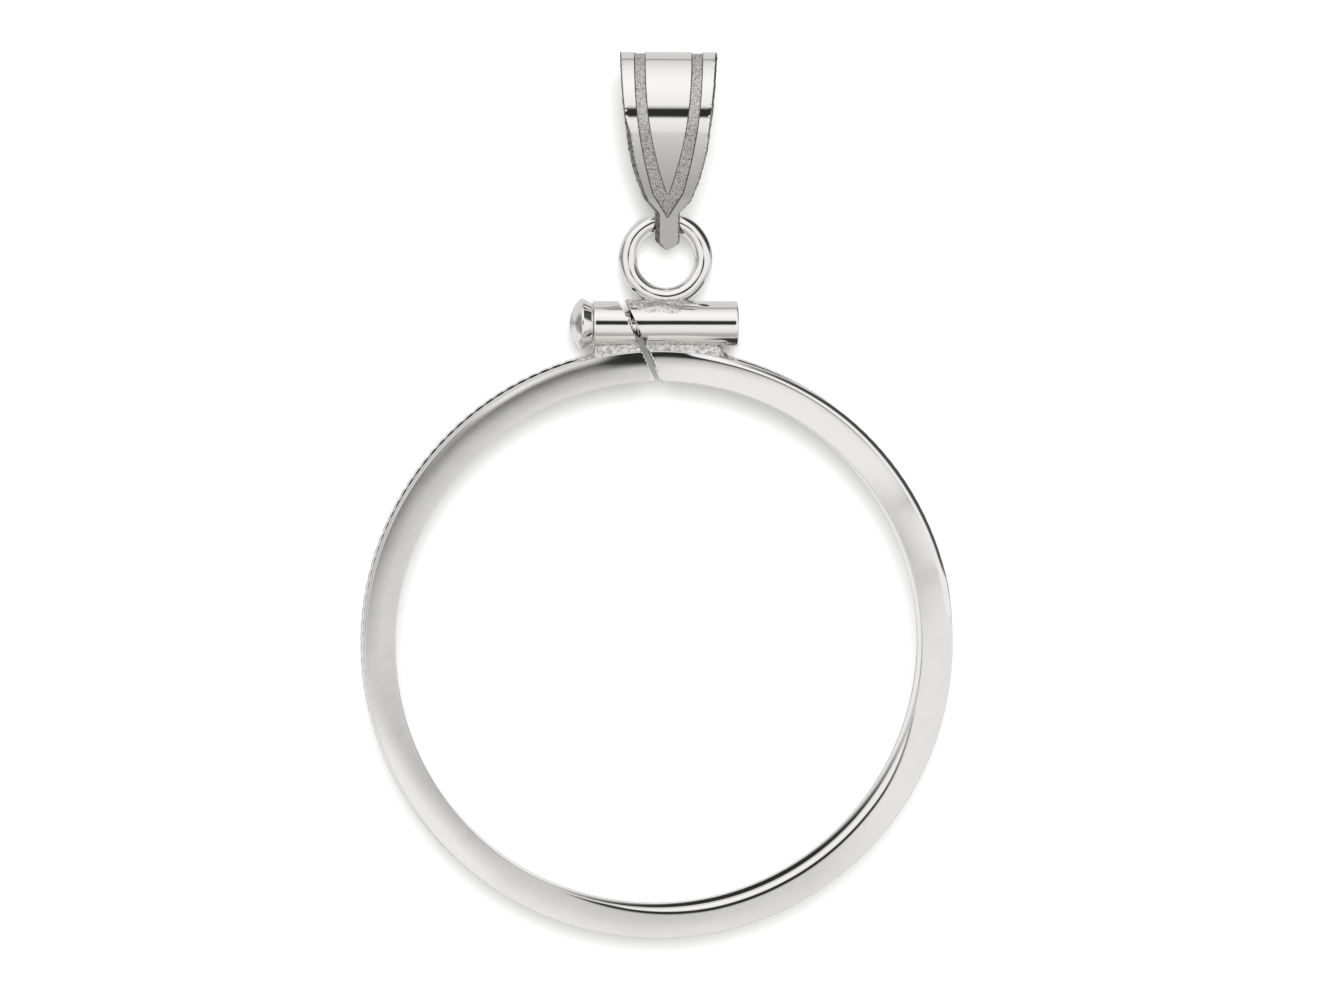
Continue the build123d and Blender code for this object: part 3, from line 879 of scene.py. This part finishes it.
# Front outline of the bail and edges of its matt bands: share of the bail's height, and
# share of half its width
TAB_TOP = 0.075  # height only: the tab keeps its own width up to here
SIDE_FOOT = (0.155, 0.481)
SIDE_LOW = (0.310, 0.675)
SIDE_BELLY = (0.585, 0.859)
SIDE_HIGH = (0.788, 0.943)
BAND_OUTER = ((1.000, 0.710), (0.600, 0.610), (0.197, 0.316), (0.040, 0.0))
BAND_INNER = ((1.000, 0.469), (0.585, 0.350), (0.188, 0.0))
TIP_CURVE = 1.8  # power of the tab's point: 1 gives a straight point, and more a blunter one
TIP_HALF = 0.06  # millimetres: half the width of the very tip
LEFT_WEAR = (4.6, 5.8)  # millimetres over the wire between which the left bevel starts to be worn
RIGHT_WEAR = (4.2, 5.2)  # and those between which the right bevel stops being worn
BEVEL_DROP = 0.8  # how far a bevel falls, as a share of its width
BEVEL_CURVE = 1.5  # power of that fall
BANDS_MET = 0.01  # millimetres: nearer to the middle than this, the two bands are one
BAND_ENDS = 0.02  # millimetres: half the width at which that one band ends


def curve_through(points, share):
    """Value at a share of the height, on the parabola through three (share, value) points."""
    total = 0
    for i, (height, value) in enumerate(points):
        term = value
        for j, (other, _) in enumerate(points):
            if j != i:
                term *= (share - other) / (height - other)
        total += term
    return total


def half_width(bail, height):
    """Half the bail's width at a height over the wire."""
    half, share = bail.width / 2, min(height / bail.height, 1)
    tab = bail.tab / 2
    into_tip = bail.tab_end - (height + bail.tip)
    if into_tip > 0:
        return max(tab * (1 - min(into_tip / bail.tab_end, 1) ** TIP_CURVE), TIP_HALF)
    if share < TAB_TOP:
        return tab
    if share < SIDE_FOOT[0]:
        return tab + (SIDE_FOOT[1] * half - tab) * (share - TAB_TOP) / (SIDE_FOOT[0] - TAB_TOP)
    if share < SIDE_BELLY[0]:
        return half * curve_through((SIDE_FOOT, SIDE_LOW, SIDE_BELLY), share)
    return half * curve_through((SIDE_BELLY, SIDE_HIGH, (1.0, 1.0)), share)


def band_edges(bail, height):
    """Half widths of the matt bands' outer and inner edges at a height."""
    half, share = bail.width / 2, min(height / bail.height, 1)
    foot, tip = BAND_OUTER[2], BAND_OUTER[3]
    if share > foot[0]:
        outer = curve_through(BAND_OUTER[:3], share)
    else:
        outer = foot[1] * (share - tip[0]) / (foot[0] - tip[0])
    inner = curve_through(BAND_INNER, share) if share > BAND_INNER[2][0] else 0
    return half * max(outer, 0), half * max(inner, 0)


# Mesh columns across the leaf, from its left edge to its right edge, then back along the inside
BEVEL, SIDE, STEP, BAND, PANEL = "bevel", "side", "step", "band", "panel"
STRETCHES = ((BEVEL, 3), (SIDE, 4), (STEP, 1), (BAND, 12), (STEP, 1), (PANEL, 8),
             (STEP, 1), (BAND, 12), (STEP, 1), (SIDE, 4), (BEVEL, 3))
OUTSIDE_COLUMNS = sum(count for _, count in STRETCHES)
MIDDLE_STRETCHES = (5, 6)  # numbers of the panel between the bands and the step to its right
CUT_COLUMNS = 2  # across the thickness of the leaf, at its sawn edge
INSIDE_COLUMNS = 10
ALL_COLUMNS = OUTSIDE_COLUMNS + INSIDE_COLUMNS + 2 * CUT_COLUMNS


def stretch_of(column):
    """The stretch that starts or holds a mesh column, its number, and how far into it the column is."""
    for number, (kind, count) in enumerate(STRETCHES):
        if column < count:
            return kind, number, column / count
        column -= count
    return BEVEL, len(STRETCHES) - 1, 1.0


def outside_place(bail, column, height):
    """Across the leaf, and how far below its face, a column of the outside lies at a height."""
    side = half_width(bail, height)
    outer, inner = band_edges(bail, height)
    wall = min(bail.band_wall, (outer - inner) / 3)
    worn_left = smooth_step(*LEFT_WEAR, height)
    worn_right = 1 - smooth_step(*RIGHT_WEAR, height)
    left = bail.left_bevel + (bail.worn_bevel - bail.left_bevel) * worn_left
    right = bail.right_bevel + (bail.worn_bevel - bail.right_bevel) * worn_right
    room = (side - outer) / 2
    left, right = min(left, room), min(right, room)
    breaks = [-side, left - side, -outer, wall - outer, -inner - wall, -inner,
              inner, inner + wall, outer - wall, outer, side - right, side]
    kind, number, share = stretch_of(column)
    x = breaks[number] + (breaks[number + 1] - breaks[number]) * share
    depth = 0.0
    if kind == BEVEL:
        width = right if number else left
        depth = BEVEL_DROP * width * (share if number else 1 - share) ** BEVEL_CURVE
    met = inner < BANDS_MET and number in MIDDLE_STRETCHES
    ends_band = kind == STEP and stretch_of(column - 1)[0] == BAND
    in_band = outer > BAND_ENDS and (kind == BAND or met or ends_band)
    return x, depth, in_band


def column_place(bail, column, spot, normal):
    """Where a mesh column lies at a spot of the side line, and if it is on a band's floor."""
    if column <= OUTSIDE_COLUMNS:
        across, depth, sunk = outside_place(bail, column, spot.x)
        place = spot - normal * (depth + sunk * bail.band_depth)
        return Vector((place.x, place.y, across)), sunk
    inside = spot - normal * bail.leaf
    if inside.length < bail.eye or inside.x < 0:
        inside = inside.normalized() * bail.eye
    cut_share = min(column - OUTSIDE_COLUMNS, ALL_COLUMNS - column) / CUT_COLUMNS
    sign = 1 if column < (ALL_COLUMNS + OUTSIDE_COLUMNS) / 2 else -1  # the right edge, then the left
    if cut_share < 1:
        edge = outside_place(bail, OUTSIDE_COLUMNS if sign > 0 else 0, spot.x)
        outside = spot - normal * edge[1]
        place = outside + (inside - outside) * cut_share
        return Vector((place.x, place.y, sign * half_width(bail, place.x))), False
    share = (column - OUTSIDE_COLUMNS - CUT_COLUMNS) / INSIDE_COLUMNS
    return Vector((inside.x, inside.y, (1 - 2 * share) * half_width(bail, inside.x))), False


def spin_vert(bm, vert, centre, radius, turn, step):
    """Draws an arc from a vertex about a centre, with edges of about that step. Returns its end."""
    made = bmesh.ops.spin(bm, geom=[vert], cent=(*centre, 0), axis=(0, 0, 1), angle=turn,
                          steps=ceil(radius * turn / step))
    return next(item for item in made["geom_last"] if isinstance(item, bmesh.types.BMVert))


def direction(start, end):
    """Direction from one point to another, as an angle."""
    return atan2(end.y - start.y, end.x - start.x)


def loop_line(bm, bail):
    """The loop's outside seen from the side: tangent arcs from its top to the neck, and the tab."""
    belly = Vector((bail.belly, bail.depth / 2 - bail.belly_radius))
    roof = Vector((bail.height - bail.roof_radius, 0))
    leaf = belly + Vector((sin(bail.lean), -cos(bail.lean))) * (bail.leaf_radius - bail.belly_radius)
    to_belly = bail.shoulder_radius - bail.belly_radius
    to_roof = bail.shoulder_radius - bail.roof_radius
    span = roof - belly
    foot = (to_belly**2 - to_roof**2 + span.length_squared) / (2 * span.length)
    along = span.normalized()
    shoulder = belly + along * foot + Vector((along.y, -along.x)) * sqrt(to_belly**2 - foot**2)
    neck = Vector((bail.neck, leaf.y + sqrt(bail.leaf_radius**2 - (bail.neck - leaf.x) ** 2)))
    turns = [0, direction(shoulder, roof), direction(shoulder, belly), pi / 2 + bail.lean,
             direction(leaf, neck)]
    arcs = ((roof, bail.roof_radius), (shoulder, bail.shoulder_radius), (belly, bail.belly_radius),
            (leaf, bail.leaf_radius))
    vert = bm.verts.new((bail.height, 0, 0))
    for (centre, radius), start, end in zip(arcs, turns, turns[1:]):
        vert = spin_vert(bm, vert, centre, radius, end - start, bail.row)
    tip = Vector((-bail.tip, bail.tip_depth / 2, 0))
    for point in (tip, Vector((-bail.tip, 0, 0))):
        made = bmesh.ops.extrude_vert_indiv(bm, verts=[vert])
        vert = made["verts"][0]
        vert.co = point
    round_corner(bm, tip, bail.tip_edge, 4)
    for edge in bm.edges[:]:
        cuts = ceil(edge.calc_length() / bail.row - 0.1) - 1
        if cuts > 0:
            bmesh.ops.subdivide_edges(bm, edges=[edge], cuts=cuts)
    bmesh.ops.mirror(bm, geom=bm.verts[:] + bm.edges[:], axis="Y", merge_dist=NEAR)
    bmesh.ops.remove_doubles(bm, verts=bm.verts[:], dist=NEAR)


def bail_plane(bail):
    """Turns the bail's own directions, up the leaf, front and across, into the pendant's."""
    half = SIDE_BELLY[1] * bail.width / 2
    drop = (bail.depth / 2 - bail.belly_radius) * cos(bail.roll) + half * sin(bail.roll)
    rise = bail.belly_radius - MIDDLE + bail.floor_gap
    lift = asin(rise / hypot(bail.belly, drop)) + atan2(drop, bail.belly)
    slew = Matrix.Rotation(bail.slew, 3, "Z")
    up = slew @ Vector((0, cos(lift), sin(lift)))
    across = Matrix.Rotation(-bail.roll, 3, up) @ slew @ Vector((1, 0, 0))
    turned = Matrix((up, across.cross(up), across)).transposed().to_4x4()
    return Matrix.Translation(WIRE_CENTRE + Vector((bail.slip, 0, 0))) @ turned


def make_bail(context):
    """The loop bail with its two sunk matt bands."""
    bail = in_mm(context.scene.bezel_bail)
    bm = bmesh.new()
    loop_line(bm, bail)
    edges = bm.edges[:]
    for _ in range(ALL_COLUMNS):
        made = bmesh.ops.extrude_edge_only(bm, edges=edges)["geom"]
        edges = [item for item in made if isinstance(item, bmesh.types.BMEdge)]
        edges = [edge for edge in edges if len(edge.link_faces) == 1
                 and abs(edge.verts[0].co.z - edge.verts[1].co.z) < TINY]
        verts = {vert for edge in edges for vert in edge.verts}
        bmesh.ops.translate(bm, vec=(0, 0, 1), verts=list(verts))
    bmesh.ops.recalc_face_normals(bm, faces=bm.faces[:])
    bm.normal_update()
    top = max(bm.verts, key=lambda vert: vert.co.x)
    if top.normal.x < 0:
        bmesh.ops.reverse_faces(bm, faces=bm.faces[:])
        bm.normal_update()
    sunk, cut = bm.verts.layers.int.new("sunk"), bm.verts.layers.int.new("cut")
    inside = range(OUTSIDE_COLUMNS + CUT_COLUMNS, ALL_COLUMNS - CUT_COLUMNS)
    for face in bm.faces:
        column = int(face.calc_center_median().z)
        sawn = column >= OUTSIDE_COLUMNS and column not in inside
        # The sawn finish goes on the sawn edges and the bevels, and also on the step walls down to the
        # matt bands, where its dark colour is painted shade in the step
        if sawn or column < OUTSIDE_COLUMNS and stretch_of(column)[0] in (BEVEL, STEP):
            face.material_index = 2
    for vert in bm.verts:
        column = round(vert.co.z) % ALL_COLUMNS
        place, is_sunk = column_place(bail, column, vert.co.xy, vert.normal.xy)
        vert.co, vert[sunk] = place, is_sunk
        on_face = 0 < column < OUTSIDE_COLUMNS and stretch_of(column)[0] != BEVEL
        vert[cut] = not on_face and all(face.material_index == 2 for face in vert.link_faces)
    bmesh.ops.remove_doubles(bm, verts=bm.verts[:], dist=CLOSE)
    bmesh.ops.recalc_face_normals(bm, faces=bm.faces[:])
    for face in bm.faces:
        if all(vert[sunk] for vert in face.verts):
            face.material_index = 1
    grainy = [vert for vert in bm.verts if vert[sunk]]
    roughen(bm, grainy, bail.grain, bail.grain_size, shift=2)
    grainy = [vert for vert in bm.verts if vert[cut]]
    roughen(bm, grainy, bail.cut_grain, bail.cut_grain_size, shift=4)
    bmesh.ops.transform(bm, matrix=bail_plane(bail), verts=bm.verts[:])
    finishes = [polished_gold(), blasted_gold(), sawn_gold()]
    made = piece("bail_leaf", bm, "bail", finishes)
    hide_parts("bail")


# Stage

# Brightness of the room over the lean from straight above, in degrees, towards the bail
ROOM = (
    (-180, 0.45), (-167, 0.90), (-100, 0.90), (-92, 0.62), (-72, 0.57), (-59, 0.49), (-54, 0.46),
    (-48, 0.58), (-43, 0.74), (-38, 0.85), (-33, 0.93), (-17, 1.00), (24, 1.03), (46, 1.16),
    (57, 1.11), (68, 1.00), (78, 0.82), (84, 0.62), (88, 0.40), (93, 0.42), (96, 0.95),
    (100, 0.75), (166, 0.80), (180, 0.45),
)
# The dark camera and its ring, a little towards the bail from straight above
CAMERA_PLACE = (sin(radians(-0.5)), sin(radians(7.5)), cos(radians(7.5)))
CAMERA_EDGE = (radians(7.5), radians(15))  # angles from its middle between which it fades
CAMERA_LEVEL = 0.03
# Dark corners of the room, low down to the upper right and to the left: azimuth in degrees, the
# cosines of the angle from there at which each starts and is full, and its brightness
CORNERS = ((35, 0.79, 0.89, 0.08), (180, 0.86, 0.97, 0.40))


def light_room(scene):
    """A white room as the metal mirrors it: soft panels, the dark camera above, dark flags."""
    world = bpy.data.worlds.new("Studio")
    world.use_nodes = True
    tree = world.node_tree
    tree.nodes.clear()
    place = add(tree, "ShaderNodeTexCoord").outputs["Generated"]
    split = add(tree, "ShaderNodeSeparateXYZ", {"Vector": place})
    # Angle from straight above towards the bail, as a share of a turn
    lean = add(tree, "ShaderNodeMath", {0: split.outputs["Y"], 1: split.outputs["Z"]},
               operation="ARCTAN2").outputs[0]
    share = add(tree, "ShaderNodeMapRange", {"Value": lean, "From Min": -pi, "From Max": pi}).outputs[0]
    bands = add(tree, "ShaderNodeValToRGB", {"Fac": share})
    ramp = bands.color_ramp
    while len(ramp.elements) < len(ROOM):
        ramp.elements.new(0.5)
    for element, (angle, level) in zip(ramp.elements, ROOM):
        element.position = (angle + 180) / 360
        element.color = (level, level, level, 1)
    near_camera = add(tree, "ShaderNodeVectorMath", {0: place, 1: CAMERA_PLACE},
                      operation="DOT_PRODUCT").outputs["Value"]
    off_camera = add(tree, "ShaderNodeMath", {0: near_camera}, operation="ARCCOSINE").outputs[0]
    shade = add(tree, "ShaderNodeMapRange",
                {"Value": off_camera, "From Min": CAMERA_EDGE[0], "From Max": CAMERA_EDGE[1],
                 "To Min": CAMERA_LEVEL, "To Max": 1.0}, interpolation_type="SMOOTHSTEP")
    shades = [shade.outputs[0]]
    for azimuth, start, full, level in CORNERS:
        corner = (cos(radians(azimuth)), sin(radians(azimuth)), 0)
        near_corner = add(tree, "ShaderNodeVectorMath", {0: place, 1: corner},
                          operation="DOT_PRODUCT").outputs["Value"]
        shade = add(tree, "ShaderNodeMapRange",
                    {"Value": near_corner, "From Min": start, "From Max": full,
                     "To Min": 1.0, "To Max": level}, interpolation_type="SMOOTHSTEP")
        shades.append(shade.outputs[0])
    lit = bands.outputs["Color"]
    for shade in shades:
        lit = add(tree, "ShaderNodeMix", {0: 1.0, 6: lit, 7: shade},
                  data_type="RGBA", blend_type="MULTIPLY").outputs[2]
    sky = add(tree, "ShaderNodeBackground", {"Color": lit, "Strength": 1.0})
    add(tree, "ShaderNodeOutputWorld", {"Surface": sky.outputs["Background"]})
    scene.world = world


CLIP = (0.01, 20)  # metres: what is nearer to the camera or farther off isn't drawn


def make_stage(context):
    """The pale floor, the room's light and the camera."""
    scene = context.scene
    stage = in_mm(scene.bezel_stage)
    bm = bmesh.new()
    bmesh.ops.create_grid(bm, x_segments=1, y_segments=1, size=stage.floor_width * MM / 2)
    mesh = bpy.data.meshes.new("floor")
    bm.to_mesh(mesh)
    bm.free()
    floor = bpy.data.objects.new("floor", mesh)
    scene.collection.objects.link(floor)
    mesh.materials.append(floor_card())
    floor.visible_glossy = False  # the metal mirrors the room's pale lower half instead
    light_room(scene)

    # A large soft box over the floor, which the metal doesn't mirror either
    box = bpy.data.lights.new("soft box", "SUN")
    box.angle = stage.softness
    box.energy = stage.soft_box
    lamp = bpy.data.objects.new("soft box", box)
    lamp.rotation_euler = (-stage.soft_lean, 0, 0)
    lamp.visible_glossy = False
    scene.collection.objects.link(lamp)

    camera = bpy.data.cameras.new("camera")
    camera.lens = stage.lens
    eye = bpy.data.objects.new("camera", camera)
    scene.collection.objects.link(eye)
    distance = stage.view_width * stage.lens / camera.sensor_width
    sideward = sin(stage.tilt)
    back = Vector((sideward * cos(stage.heading), sideward * sin(stage.heading), cos(stage.tilt)))
    aim = Vector((stage.aim_x, stage.aim_y, MIDDLE))
    upward = back.cross(Vector((1, 0, 0))).normalized()
    sideways = upward.cross(back)
    turn = Matrix((sideways, upward, back)).transposed().to_4x4()
    eye.matrix_world = Matrix.Translation((aim + back * distance) * MM) @ turn
    camera.clip_start, camera.clip_end = CLIP
    scene.camera = eye
    scene.view_settings.view_transform = "Standard"


class BEZEL_OT_stage(bpy.types.Operator):
    """The pale floor, the room's light and the camera"""

    bl_idname = "bezel.stage"
    bl_label = "Stage"

    def execute(self, context):
        make_stage(context)
        return {"FINISHED"}


class BEZEL_OT_rim(bpy.types.Operator):
    """The channel rim with its notched flange, cut by the slit"""

    bl_idname = "bezel.rim"
    bl_label = "Rim"

    def execute(self, context):
        make_rim(context)
        return {"FINISHED"}


class BEZEL_OT_barrels(bpy.types.Operator):
    """The two barrels: one turned tube, cut by the slit"""

    bl_idname = "bezel.barrels"
    bl_label = "Barrels"

    def execute(self, context):
        make_barrels(context)
        return {"FINISHED"}


class BEZEL_OT_saddle(bpy.types.Operator):
    """The solder between the tube and the rim, which runs out in a toe past each end"""

    bl_idname = "bezel.saddle"
    bl_label = "Saddle solder"

    def execute(self, context):
        make_saddle(context)
        return {"FINISHED"}


class BEZEL_OT_ring_solder(bpy.types.Operator):
    """The crust of solder round the jump ring's foot, which wraps the top of the tube"""

    bl_idname = "bezel.ring_solder"
    bl_label = "Ring solder"

    def execute(self, context):
        make_ring_solder(context)
        return {"FINISHED"}


class BEZEL_OT_jump_ring(bpy.types.Operator):
    """The round wire ring that stands on the tube"""

    bl_idname = "bezel.jump_ring"
    bl_label = "Jump ring"

    def execute(self, context):
        make_jump_ring(context)
        return {"FINISHED"}


class BEZEL_OT_screw(bpy.types.Operator):
    """The screw: a domed slotted head, a shank and a real thread"""

    bl_idname = "bezel.screw"
    bl_label = "Screw"

    def execute(self, context):
        make_screw(context)
        return {"FINISHED"}


class BEZEL_OT_bail(bpy.types.Operator):
    """The loop bail with its two sunk matt bands"""

    bl_idname = "bezel.bail"
    bl_label = "Bail"

    def execute(self, context):
        make_bail(context)
        return {"FINISHED"}


OPERATORS = (BEZEL_OT_stage, BEZEL_OT_rim, BEZEL_OT_barrels, BEZEL_OT_saddle,
             BEZEL_OT_ring_solder, BEZEL_OT_jump_ring, BEZEL_OT_screw, BEZEL_OT_bail)
GROUPS = {
    "bezel_rim": RimSizes,
    "bezel_slit": SlitSizes,
    "bezel_barrels": BarrelSizes,
    "bezel_ring": RingSizes,
    "bezel_screw": ScrewSizes,
    "bezel_bail": BailSizes,
    "bezel_colours": FinishColours,
    "bezel_stage": StageSizes,
}


class BEZEL_PT_pieces(bpy.types.Panel):
    """Lists the pieces and their sizes"""

    bl_idname = "BEZEL_PT_pieces"
    bl_label = "Coin bezel"
    bl_space_type = "VIEW_3D"
    bl_region_type = "UI"
    bl_category = "Bezel"

    def draw(self, context):
        for made in OPERATORS:
            self.layout.operator(made.bl_idname)
        for name, group in GROUPS.items():
            box = self.layout.box()
            box.label(text=group.__doc__)
            for prop in group.__annotations__:
                box.prop(getattr(context.scene, name), prop)


CLASSES = (*GROUPS.values(), *OPERATORS, BEZEL_PT_pieces)


def register():
    for made in CLASSES:
        bpy.utils.register_class(made)
    for name, group in GROUPS.items():
        setattr(bpy.types.Scene, name, PointerProperty(type=group))


def unregister():
    for name in GROUPS:
        delattr(bpy.types.Scene, name)
    for made in reversed(CLASSES):
        bpy.utils.unregister_class(made)


def main():
    """Makes the stage and every piece."""
    register()
    for name in ("stage", "rim", "barrels", "saddle", "ring_solder", "jump_ring", "screw", "bail"):
        getattr(bpy.ops.bezel, name)()


if __name__ == "__main__":
    main()
